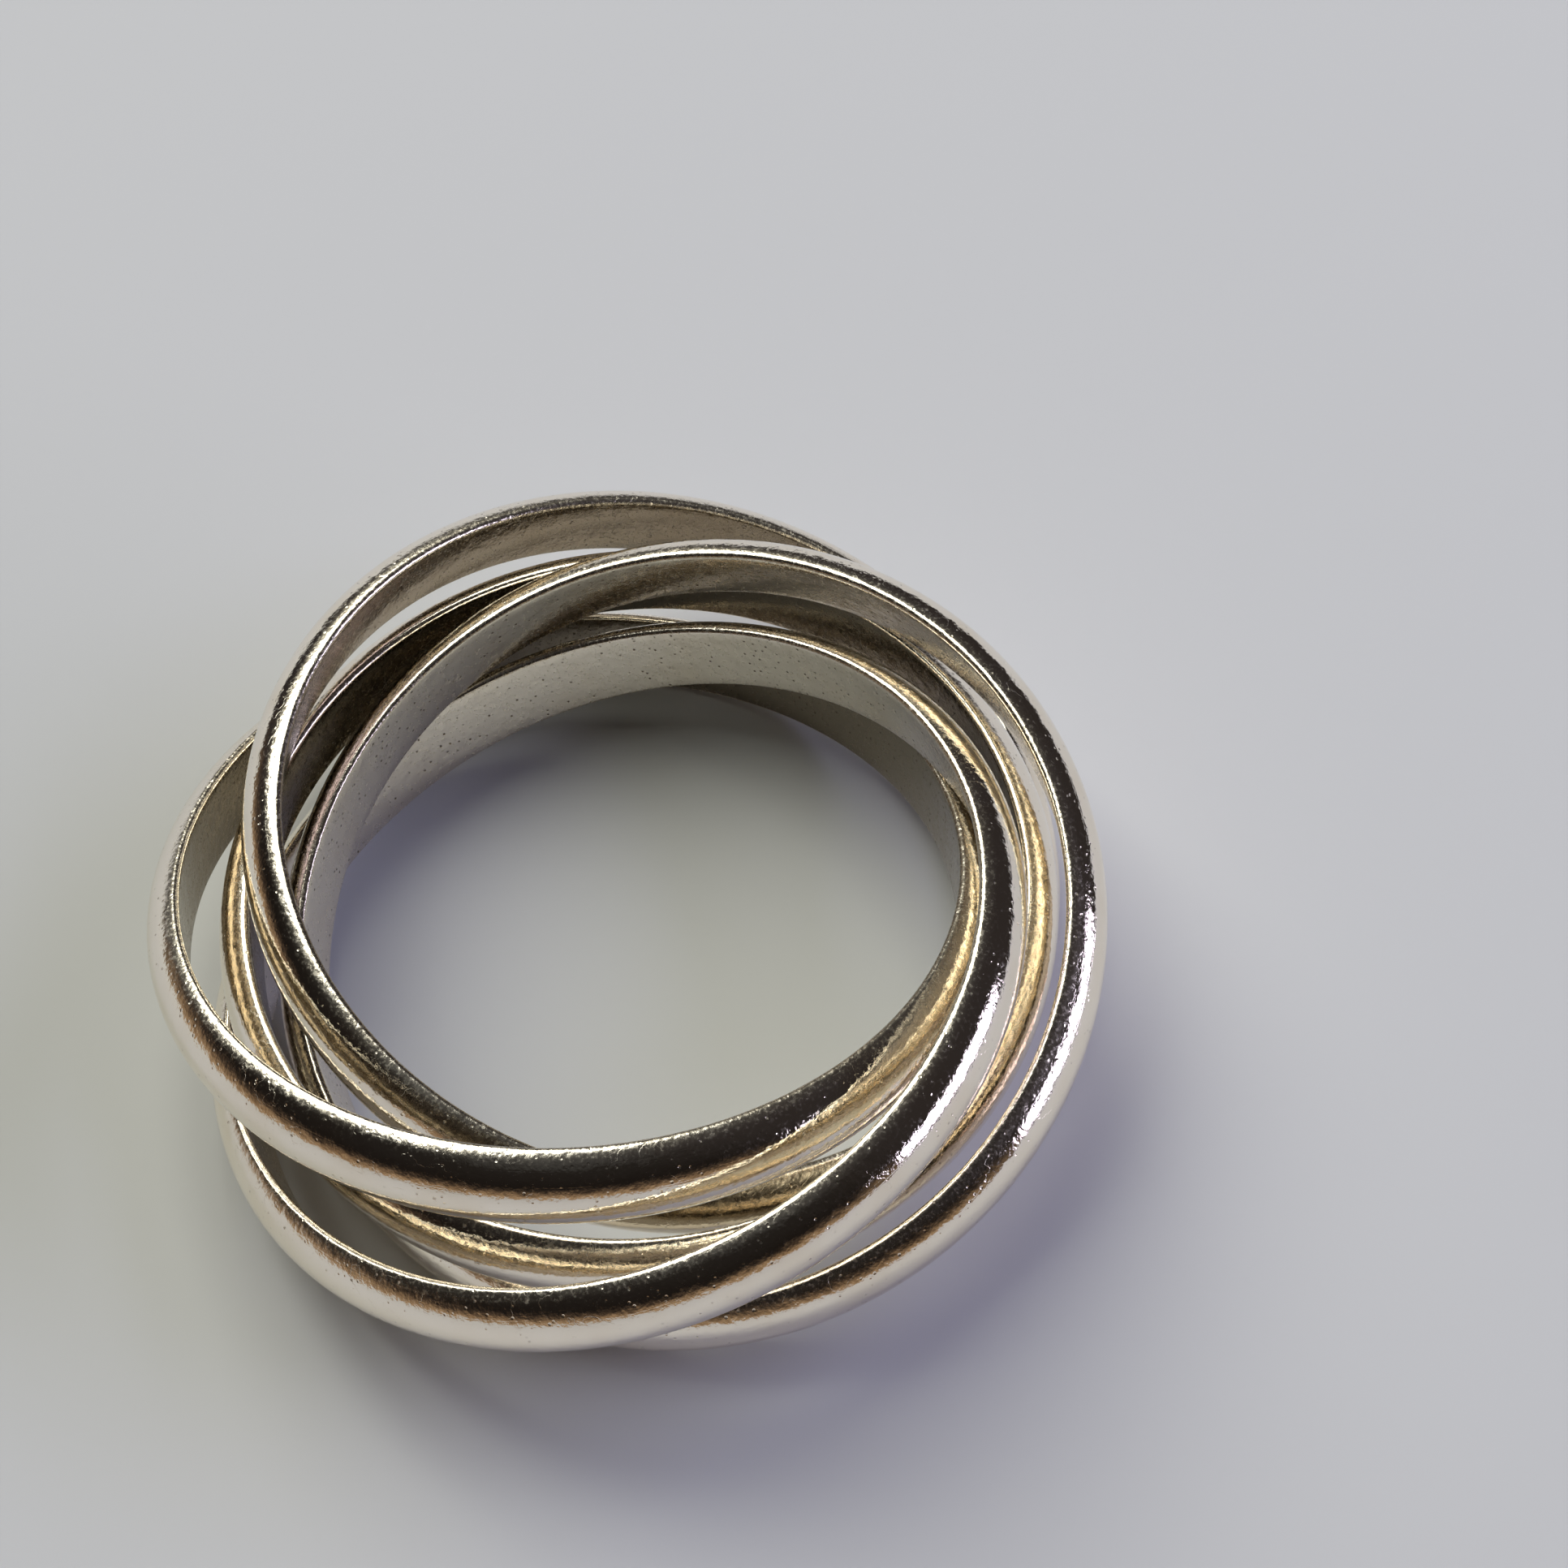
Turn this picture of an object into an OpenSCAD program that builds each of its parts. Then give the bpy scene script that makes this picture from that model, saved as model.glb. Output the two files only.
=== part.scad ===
// Rolling ring: five equal half-round bands, every one linked through the other four.
// The core band lies level in the middle, and four tilted bands wind once round it.
// Millimetres, +Z up, table at z = 0, origin under the middle of the whole ring.

/* [Band] */

// Inner diameter of every band
band_bore = 21; // [20:0.1:22]
// Width of every band, along its own axis
band_w = 2.5; // [2.2:0.05:2.5]
// Thickness of every band at the crown of its round outside
band_t = 1; // [0.8:0.02:1]
// Rounding where the flat inside meets the round outside
edge_r = 0.15; // [0.05:0.01:0.25]

/* [Core band] */

// Place of the core band's axis, left to right
core_x = 0.3; // [-2:0.05:2]
// Place of the core band's axis, front to back
core_y = 0.05; // [-2:0.05:2]
// Height of the middle of the core band above the table
core_z = 3.86; // [3.5:0.01:4.2]

/* [Back band] */

// Shift from the core band's axis to the right
back_x = 0.65; // [-3:0.05:3]
// Shift from the core band's axis to the back
back_y = 1.85; // [-3:0.05:3]
// Lean away from level, in degrees
back_tilt = 14.1; // [12:0.1:20]
// Way its outermost point faces, in degrees from the right
back_turn = 81.5; // [60:0.5:110]

/* [Left band] */

// Shift from the core band's axis to the right
left_x = -1.75; // [-3:0.05:3]
// Shift from the core band's axis to the back
left_y = 0.1; // [-3:0.05:3]
// Lean away from level, in degrees
left_tilt = 17.5; // [12:0.1:20]
// Way its outermost point faces, in degrees from the right
left_turn = 173.5; // [150:0.5:200]

/* [Front band] */

// Shift from the core band's axis to the right
front_x = -0.8; // [-3:0.05:3]
// Shift from the core band's axis to the back
front_y = -2.05; // [-3:0.05:3]
// Lean away from level, in degrees
front_tilt = 16.5; // [12:0.1:20]
// Way its outermost point faces, in degrees from the right
front_turn = 241.5; // [220:0.5:270]

/* [Right band] */

// Shift from the core band's axis to the right
right_x = 1.25; // [-3:0.05:3]
// Shift from the core band's axis to the back
right_y = -0.95; // [-3:0.05:3]
// Lean away from level, in degrees
right_tilt = 14.1; // [12:0.1:20]
// Way its outermost point faces, in degrees from the right
right_turn = 319; // [300:0.5:350]

/* [Hidden] */

// The outside is one round arc that runs tangent into both rounded edges.
inner_r = band_bore / 2;
edge_z = band_w / 2 - edge_r;
arc_in = (edge_z * edge_z + edge_r * edge_r - pow(band_t - edge_r, 2)) / (2 * (band_t - 2 * edge_r));
arc_r = arc_in + band_t;
arc_x = inner_r - arc_in;
meet_x = arc_x + arc_r * (arc_in + edge_r) / (arc_r - edge_r);
silver = [0.8, 0.79, 0.77];

// Height at which a leaning band just touches the table.
function rest_z(tilt) = (inner_r + edge_r) * sin(tilt) + edge_z * cos(tilt) + edge_r;

// Half-round section: flat inside on the left, round outside on the right.
module band_section() {
    intersection() {
        translate([arc_x, 0])
            circle(r = arc_r, $fn = 96);
        translate([meet_x, -band_w])
            square([band_t, 2 * band_w]);
    }
    translate([inner_r, -edge_z])
        square([meet_x - inner_r, 2 * edge_z]);
    for (side = [-1, 1])
        translate([inner_r + edge_r, side * edge_z])
            circle(r = edge_r, $fn = 32);
}

module band() {
    color(silver)
        rotate_extrude($fn = 180)
            band_section();
}

module leaning_band(x, y, tilt, turn) {
    translate([core_x + x, core_y + y, rest_z(tilt)])
        rotate([0, 0, turn])
            rotate([tilt, 0, 0])
                band();
}

module band_core() {
    translate([core_x, core_y, core_z])
        band();
}

module band_back() {
    leaning_band(back_x, back_y, back_tilt, back_turn);
}

module band_left() {
    leaning_band(left_x, left_y, left_tilt, left_turn);
}

module band_front() {
    leaning_band(front_x, front_y, front_tilt, front_turn);
}

module band_right() {
    leaning_band(right_x, right_y, right_tilt, right_turn);
}

band_core();
band_back();
band_left();
band_front();
band_right();
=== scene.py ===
import math

import bmesh
import bpy
from mathutils import Matrix, Vector


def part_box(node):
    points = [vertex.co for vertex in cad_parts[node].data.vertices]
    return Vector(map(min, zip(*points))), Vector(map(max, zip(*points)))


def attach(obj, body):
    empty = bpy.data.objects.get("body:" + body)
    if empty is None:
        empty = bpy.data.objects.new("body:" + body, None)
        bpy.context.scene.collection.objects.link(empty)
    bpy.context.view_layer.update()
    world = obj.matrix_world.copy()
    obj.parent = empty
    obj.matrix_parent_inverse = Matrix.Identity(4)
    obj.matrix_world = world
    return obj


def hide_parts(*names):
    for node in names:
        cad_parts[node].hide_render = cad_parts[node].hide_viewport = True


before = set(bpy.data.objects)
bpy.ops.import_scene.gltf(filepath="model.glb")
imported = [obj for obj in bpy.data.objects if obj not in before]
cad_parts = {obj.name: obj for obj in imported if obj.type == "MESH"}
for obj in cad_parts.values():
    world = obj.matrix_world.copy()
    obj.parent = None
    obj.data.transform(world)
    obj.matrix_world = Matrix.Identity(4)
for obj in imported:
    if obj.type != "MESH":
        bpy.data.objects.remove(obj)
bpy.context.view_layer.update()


# ---- The five bands ---------------------------------------------------------------------------
# Equal closed rings of white precious metal, turned from half-round wire: flat inside, round outside
# and eased where the two meet. Each one is soldered shut through the others, so none can come away.

MM = 0.001
band_bore = 21 * MM
band_width = 2.5 * MM
band_thickness = 1 * MM
edge_radius = 0.15 * MM
facets_round_band = 360
facets_over_crown = 36
facets_round_edge = 8
facets_across_bore = 8

bore_radius = band_bore / 2
edge_height = band_width / 2 - edge_radius
crown_inset = (edge_height**2 + edge_radius**2 - (band_thickness - edge_radius) ** 2) / (
    2 * (band_thickness - 2 * edge_radius)
)
crown_centre = Vector((bore_radius - crown_inset, 0, 0))
upper_edge_centre = Vector((bore_radius + edge_radius, 0, edge_height))
lower_edge_centre = Vector((bore_radius + edge_radius, 0, -edge_height))
edge_turn = math.atan2(edge_height, upper_edge_centre.x - crown_centre.x)


def sweep_half_round(work):
    """Traces the closed outline of the metal in the plane y = 0, from a single point."""
    start = upper_edge_centre - Vector((edge_radius, 0, 0))
    tip = bmesh.ops.create_vert(work, co=start)["vert"][0]
    arcs = [
        (upper_edge_centre, math.pi - edge_turn, facets_round_edge),
        (crown_centre, 2 * edge_turn, facets_over_crown),
        (lower_edge_centre, math.pi - edge_turn, facets_round_edge),
    ]
    for centre, angle, steps in arcs:
        swept = bmesh.ops.spin(work, geom=[tip], cent=centre, axis=(0, 1, 0), angle=angle, steps=steps)
        tip = [part for part in swept["geom_last"] if isinstance(part, bmesh.types.BMVert)][0]
    bmesh.ops.extrude_vert_indiv(work, verts=[tip])["verts"][0].co = start
    bmesh.ops.remove_doubles(work, verts=work.verts, dist=0.001 * MM)
    bore_wall = [edge for edge in work.edges if edge.calc_length() > edge_height]
    bmesh.ops.subdivide_edges(work, edges=bore_wall, cuts=facets_across_bore - 1)


work = bmesh.new()
sweep_half_round(work)
bmesh.ops.spin(
    work,
    geom=work.verts[:] + work.edges[:],
    axis=(0, 0, 1),
    angle=math.tau,
    steps=facets_round_band,
    use_merge=True,
)
bmesh.ops.recalc_face_normals(work, faces=work.faces)
for face in work.faces:
    face.smooth = True
band_mesh = bpy.data.meshes.new("half_round_band")
work.to_mesh(band_mesh)
work.free()

# What the finish follows: a place in millimetres in the band's own axes, the bore wall, and where
# that wall is painted dark as shade. They stay with each band as it turns, so its wear and its painted
# shade do too.
band_mesh.attributes.new("in_band", "FLOAT_VECTOR", "POINT")
band_mesh.attributes.new("bore_side", "FLOAT", "POINT")
# Painted shade: marks the bore walls whose colour is darkened to stand in for shade between the bands.
band_mesh.attributes.new("painted_shade_bore", "FLOAT", "POINT")
for vertex in band_mesh.vertices:
    on_wall = vertex.co.xy.length < bore_radius + 0.01 * MM
    band_mesh.attributes["in_band"].data[vertex.index].vector = vertex.co / MM
    band_mesh.attributes["bore_side"].data[vertex.index].value = float(on_wall)


def new_group(name, inputs, outputs):
    """An empty shader node group, with its two end nodes."""
    tree = bpy.data.node_groups.new(name, "ShaderNodeTree")
    for label, kind, value in inputs:
        socket = tree.interface.new_socket(label, in_out="INPUT", socket_type=kind)
        socket.default_value = value
    for label in outputs:
        tree.interface.new_socket(label, in_out="OUTPUT", socket_type="NodeSocketFloat")
    return tree, tree.nodes.new("NodeGroupInput"), tree.nodes.new("NodeGroupOutput")


def give(tree, socket, value):
    """Links another socket to this one, or sets it to a plain number or colour."""
    if isinstance(value, bpy.types.NodeSocket):
        tree.links.new(value, socket)
    else:
        socket.default_value = value


def calculate(tree, operation, *values):
    """A Math node on sockets or plain numbers, and its result."""
    node = tree.nodes.new("ShaderNodeMath")
    node.operation = operation
    for socket, value in zip(node.inputs, values):
        give(tree, socket, value)
    return node.outputs[0]


def layered(tree, start, layers):
    """The start, plus each layer's mask times its amount."""
    total = start
    for mask, amount in layers:
        total = calculate(tree, "MULTIPLY_ADD", mask, amount, total)
    return total


def split(tree, vector):
    """The X, Y and Z of a vector."""
    node = tree.nodes.new("ShaderNodeSeparateXYZ")
    tree.links.new(vector, node.inputs[0])
    return node.outputs


def join(tree, x, y, z):
    """A vector from three sockets or plain numbers."""
    node = tree.nodes.new("ShaderNodeCombineXYZ")
    for socket, value in zip(node.inputs, (x, y, z)):
        give(tree, socket, value)
    return node.outputs[0]


def noise(tree, place, scale, detail, w=None):
    """Noise on a place in millimetres; scale is in waves per millimetre."""
    node = tree.nodes.new("ShaderNodeTexNoise")
    node.inputs["Scale"].default_value = scale
    node.inputs["Detail"].default_value = detail
    tree.links.new(place, node.inputs["Vector"])
    if w is not None:
        node.noise_dimensions = "4D"
        tree.links.new(w, node.inputs["W"])
    return node.outputs[0]


def ramp(tree, value, low, high, start=0.0, end=1.0):
    """A smooth step from start to end as the value goes from low to high."""
    node = tree.nodes.new("ShaderNodeMapRange")
    node.interpolation_type = "SMOOTHSTEP"
    node.inputs["From Min"].default_value = low
    node.inputs["From Max"].default_value = high
    node.inputs["To Min"].default_value = start
    node.inputs["To Max"].default_value = end
    tree.links.new(value, node.inputs["Value"])
    return node.outputs[0]


def colour_between(tree, amount, first, second):
    """A colour that goes from first to second as the amount goes from 0 to 1."""
    node = tree.nodes.new("ShaderNodeMix")
    node.data_type = "RGBA"
    tree.links.new(amount, node.inputs["Factor"])
    give(tree, node.inputs["A"], first)
    give(tree, node.inputs["B"], second)
    return node.outputs["Result"]


place_and_seed = [("Place", "NodeSocketVector", (0, 0, 0)), ("Seed", "NodeSocketFloat", 0.0)]

# Scratches that run round the band, closed without a seam because the angle enters as a circle.
streaks_across = 13.0
streaks_round = 4.0
running_scratches, group_in, group_out = new_group("running_scratches", place_and_seed, ["Scratches"])
tree = running_scratches
parts = split(tree, group_in.outputs["Place"])
from_axis = tree.nodes.new("ShaderNodeVectorMath")
from_axis.operation = "LENGTH"
tree.links.new(join(tree, parts["X"], parts["Y"], 0.0), from_axis.inputs[0])
radius = from_axis.outputs["Value"]
cosine = calculate(tree, "DIVIDE", parts["X"], radius)
sine = calculate(tree, "DIVIDE", parts["Y"], radius)
streak_place = join(
    tree,
    calculate(tree, "MULTIPLY", radius, streaks_across),
    calculate(tree, "MULTIPLY", parts["Z"], streaks_across),
    calculate(tree, "MULTIPLY", cosine, streaks_round),
)
streak_w = layered(tree, 0.0, [(sine, streaks_round), (group_in.outputs["Seed"], 50.0)])
streaks = noise(tree, streak_place, 1.0, 3.0, streak_w)
tree.links.new(ramp(tree, streaks, 0.56, 0.74), group_out.inputs["Scratches"])

# Hairlines in every direction, as thin level lines of a slow noise, and small round pits.
hairlines_and_pits, group_in, group_out = new_group(
    "hairlines_and_pits", [*place_and_seed, ("Pits per mm", "NodeSocketFloat", 4.0)], ["Hairlines", "Pits"]
)
tree = hairlines_and_pits
place = group_in.outputs["Place"]
seed = calculate(tree, "MULTIPLY", group_in.outputs["Seed"], 31.0)
off_level = calculate(tree, "SUBTRACT", noise(tree, place, 1.1, 4.0, seed), 0.5)
near_line = ramp(tree, calculate(tree, "ABSOLUTE", off_level), 0.001, 0.006, 1.0, 0.0)
broken = ramp(tree, noise(tree, place, 0.7, 1.0, seed), 0.5, 0.6)
tree.links.new(calculate(tree, "MULTIPLY", near_line, broken), group_out.inputs["Hairlines"])
cells = tree.nodes.new("ShaderNodeTexVoronoi")
tree.links.new(place, cells.inputs["Vector"])
tree.links.new(group_in.outputs["Pits per mm"], cells.inputs["Scale"])
round_pit = ramp(tree, cells.outputs["Distance"], 0.08, 0.24, 1.0, 0.0)
some_cells = ramp(tree, split(tree, cells.outputs["Color"])["X"], 0.35, 0.8)
tree.links.new(calculate(tree, "MULTIPLY", round_pit, some_cells), group_out.inputs["Pits"])

# The finish: machine polished all over and then worn. The bands roll over each other, so fine
# scratches run round them among hairlines and pits, the skin is uneven and the edges are dented.
fresh_metal = (0.96, 0.885, 0.765, 1)
tarnished_metal = (0.88, 0.775, 0.62, 1)
# Painted shade: a dark metal colour laid on the bore walls of the back bands, standing in for the shade in
# the gaps between bands.
painted_shade_metal = (0.36, 0.31, 0.24, 1)
pit_dirt = (0.25, 0.20, 0.15, 1)
polished_roughness = 0.05
relief_depth = 0.02 * MM

metal = bpy.data.materials.new("polished_band_metal")
metal.use_nodes = True
tree = metal.node_tree
metal_shader = tree.nodes["Principled BSDF"]
metal_shader.inputs["Metallic"].default_value = 1
which_band = tree.nodes.new("ShaderNodeObjectInfo")


def band_attribute(name, output):
    """One of the band mesh's own attributes."""
    node = tree.nodes.new("ShaderNodeAttribute")
    node.attribute_name = name
    return node.outputs[output]


in_band = band_attribute("in_band", "Vector")
on_bore = band_attribute("bore_side", "Fac")
# Where the bore wall carries painted shade.
on_painted_shade_bore = band_attribute("painted_shade_bore", "Fac")


def wear(group):
    """A wear group, placed in the band's own axes and different on each band."""
    node = tree.nodes.new("ShaderNodeGroup")
    node.node_tree = group
    tree.links.new(in_band, node.inputs["Place"])
    tree.links.new(which_band.outputs["Random"], node.inputs["Seed"])
    return node


scratches = wear(running_scratches).outputs["Scratches"]
marks = wear(hairlines_and_pits)
marks.inputs["Pits per mm"].default_value = 4.5
hairlines = marks.outputs["Hairlines"]
pits = marks.outputs["Pits"]
skin = noise(tree, in_band, 2.6, 3.0)
grain = noise(tree, in_band, 10.0, 3.0)
mottling = ramp(tree, grain, 0.48, 0.7)
off_middle = calculate(tree, "ABSOLUTE", split(tree, in_band)["Z"])
edge_wear = calculate(
    tree, "MULTIPLY", ramp(tree, off_middle, 1.0, 1.2), ramp(tree, on_bore, 0.2, 0.9, 1.0, 0.25)
)
edge_dents = calculate(tree, "MULTIPLY", noise(tree, in_band, 5.5, 1.0), edge_wear)

relief = tree.nodes.new("ShaderNodeBump")
relief.inputs["Strength"].default_value = 1.0
relief.inputs["Distance"].default_value = relief_depth
bumps = [(skin, 0.85), (grain, 0.24), (edge_dents, 0.55)]
hollows = [(scratches, -0.05), (hairlines, -0.07), (pits, -0.4)]
tree.links.new(layered(tree, 0.0, bumps + hollows), relief.inputs["Height"])
tree.links.new(relief.outputs[0], metal_shader.inputs["Normal"])

worn_rough = [(scratches, 0.05), (mottling, 0.13), (edge_wear, 0.16), (hairlines, 0.15), (pits, 0.2)]
satin_bore = [(on_bore, 0.12)]
roughness = layered(tree, polished_roughness, worn_rough + satin_bore)
tree.links.new(roughness, metal_shader.inputs["Roughness"])

tarnish = ramp(tree, noise(tree, in_band, 0.5, 3.0), 0.4, 0.75, 0.0, 0.55)
tone = colour_between(tree, tarnish, fresh_metal, tarnished_metal)
# Painted shade: marked bore walls turn dark, standing in for the shade that falls between the bands.
tone = colour_between(tree, on_painted_shade_bore, tone, painted_shade_metal)
dirty = calculate(tree, "MULTIPLY", pits, layered(tree, 0.25, [(on_bore, 0.75)]))
tone = colour_between(tree, dirty, tone, pit_dirt)
tree.links.new(tone, metal_shader.inputs["Base Color"])
band_mesh.materials.append(metal)


def lay_band(node, body, lean, turn, bore_shade):
    """Puts a copy of the band where the frame holds it, leaning and turned like it, with its bore wall
    painted dark as shade by the given amount.
    """
    ring = bpy.data.objects.new(node + "_ring", band_mesh.copy())
    bpy.context.scene.collection.objects.link(ring)
    attributes = ring.data.attributes
    # Painted shade: the bore wall takes this copy's shade amount; other surfaces take none.
    for wall, bore_shade_value in zip(attributes["bore_side"].data, attributes["painted_shade_bore"].data):
        bore_shade_value.value = bore_shade * wall.value
    low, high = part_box(node)
    turned = Matrix.Rotation(math.radians(turn), 4, "Z") @ Matrix.Rotation(math.radians(lean), 4, "X")
    ring.data.transform(Matrix.Translation((low + high) / 2) @ turned)
    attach(ring, body)
    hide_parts(node)


# The core, back and left bands get painted shade on their bore walls, for the shade in the gaps at the back
# of the ring; the front and right bands get none.
lay_band("band_core", "core", lean=0, turn=0, bore_shade=1)
lay_band("band_back", "back", lean=14.1, turn=81.5, bore_shade=1)
lay_band("band_left", "left", lean=17.5, turn=173.5, bore_shade=1)
lay_band("band_front", "front", lean=16.5, turn=241.5, bore_shade=0)
lay_band("band_right", "right", lean=14.1, turn=319, bore_shade=0)


# ---- Paper, room, lights and camera -----------------------------------------------------------
# A sheet of pale paper on a table in a dim room, with a large soft window behind and above, a
# second one low on the right, and a camera close over the ring. None of it is part of the object.

paper_size = 500 * MM
paper_colour = (0.62, 0.62, 0.61, 1)

work = bmesh.new()
bmesh.ops.create_grid(work, x_segments=1, y_segments=1, size=paper_size / 2)
sheet = bpy.data.meshes.new("paper")
work.to_mesh(sheet)
work.free()
paper = bpy.data.materials.new("paper")
paper.use_nodes = True
paper_shader = paper.node_tree.nodes["Principled BSDF"]
paper_shader.inputs["Base Color"].default_value = paper_colour
paper_shader.inputs["Roughness"].default_value = 0.9
sheet.materials.append(paper)
paper_floor = bpy.data.objects.new("paper", sheet)
bpy.context.scene.collection.objects.link(paper_floor)

# The room as the metal mirrors it: warm and brighter low down, nearly black above, grey behind
# and to the right, with a glow round the window. The camera itself sees an even pale backdrop.
tones_by_height = [
    (0.0, (0.34, 0.24, 0.15, 1)),
    (0.12, (0.19, 0.125, 0.075, 1)),
    (0.25, (0.05, 0.035, 0.025, 1)),
    (0.4, (0.010, 0.008, 0.007, 1)),
    (0.85, (0.016, 0.014, 0.013, 1)),
    (1.0, (0.06, 0.06, 0.06, 1)),
]
grey_side_colour = (0.026, 0.022, 0.022, 1)
window_glow = (0.40, 0.37, 0.28, 1)
window_glow_direction = (-0.32, 0.65, 0.69)
backdrop_colour = (0.5, 0.5, 0.49, 1)

world = bpy.data.worlds.new("dim_room")
bpy.context.scene.world = world
world.use_nodes = True
tree = world.node_tree
direction = tree.nodes.new("ShaderNodeTexCoord").outputs["Generated"]
toward = split(tree, direction)
warm_side = tree.nodes.new("ShaderNodeValToRGB")
tree.links.new(toward["Z"], warm_side.inputs[0])
while len(warm_side.color_ramp.elements) < len(tones_by_height):
    warm_side.color_ramp.elements.new(0.5)
for element, (height, colour) in zip(warm_side.color_ramp.elements, tones_by_height):
    element.position = height
    element.color = colour
behind_and_right = ramp(tree, layered(tree, toward["Y"], [(toward["X"], 0.7)]), -0.45, 0.25)
room_colour = colour_between(tree, behind_and_right, warm_side.outputs["Color"], grey_side_colour)
near_window = tree.nodes.new("ShaderNodeVectorMath")
near_window.operation = "DOT_PRODUCT"
near_window.inputs[1].default_value = window_glow_direction
tree.links.new(direction, near_window.inputs[0])
glow = ramp(tree, near_window.outputs["Value"], 0.84, 1.0)
room = tree.nodes["Background"]
tree.links.new(colour_between(tree, glow, room_colour, window_glow), room.inputs["Color"])
backdrop = tree.nodes.new("ShaderNodeBackground")
backdrop.inputs["Color"].default_value = backdrop_colour
ray = tree.nodes.new("ShaderNodeLightPath")
room_or_backdrop = tree.nodes.new("ShaderNodeMixShader")
tree.links.new(ray.outputs["Is Camera Ray"], room_or_backdrop.inputs[0])
tree.links.new(room.outputs[0], room_or_backdrop.inputs[1])
tree.links.new(backdrop.outputs[0], room_or_backdrop.inputs[2])
tree.links.new(room_or_backdrop.outputs[0], tree.nodes["World Output"].inputs["Surface"])

light_distance = 600 * MM


def soft_light(name, azimuth, elevation, half_width, half_height, radiance, colour, mirrored=True):
    """A rectangle of even light, placed and sized by the angles at which the ring sees it."""
    data = bpy.data.lights.new(name, "AREA")
    data.shape = "RECTANGLE"
    data.size = 2 * light_distance * math.tan(math.radians(half_width))
    data.size_y = 2 * light_distance * math.tan(math.radians(half_height))
    data.energy = radiance * math.pi * data.size * data.size_y
    data.color = colour
    lamp = bpy.data.objects.new(name, data)
    bpy.context.scene.collection.objects.link(lamp)
    across = Matrix.Rotation(math.radians(azimuth), 3, "Z")
    upward = Matrix.Rotation(math.radians(-elevation), 3, "Y")
    out = across @ upward @ Vector((1, 0, 0))
    lamp.location = out * light_distance
    lamp.rotation_mode = "QUATERNION"
    lamp.rotation_quaternion = out.to_track_quat("Z", "Y")
    lamp.visible_camera = False
    lamp.visible_glossy = mirrored


window_white = (0.98, 1.0, 0.92)
side_lilac = (0.74, 0.70, 0.93)
side_blue = (0.57, 0.59, 0.90)
soft_light("window", 121, 54, half_width=20, half_height=24, radiance=4.15, colour=window_white)
soft_light("side_window", -12, 12, half_width=20, half_height=9, radiance=5.5, colour=side_lilac)
soft_light("side_fill", 10, 35, half_width=24, half_height=11, radiance=5, colour=side_blue, mirrored=False)

camera_data = bpy.data.cameras.new("camera")
camera_data.sensor_width = 36
camera_data.lens = 67.08
camera_data.clip_start = 1 * MM
camera = bpy.data.objects.new("camera", camera_data)
bpy.context.scene.collection.objects.link(camera)
camera_place = Matrix.Translation((0.004449, -0.039582, 0.073710))
camera_right = Vector((0.99861, -0.04489, -0.02768))
camera_up = Vector((0.05274, 0.85003, 0.52410))
camera_back = camera_right.cross(camera_up)
camera_axes = Matrix((camera_right, camera_up, camera_back)).transposed().to_4x4()
camera.matrix_world = camera_place @ camera_axes
bpy.context.scene.camera = camera
bpy.context.scene.view_settings.view_transform = "Standard"
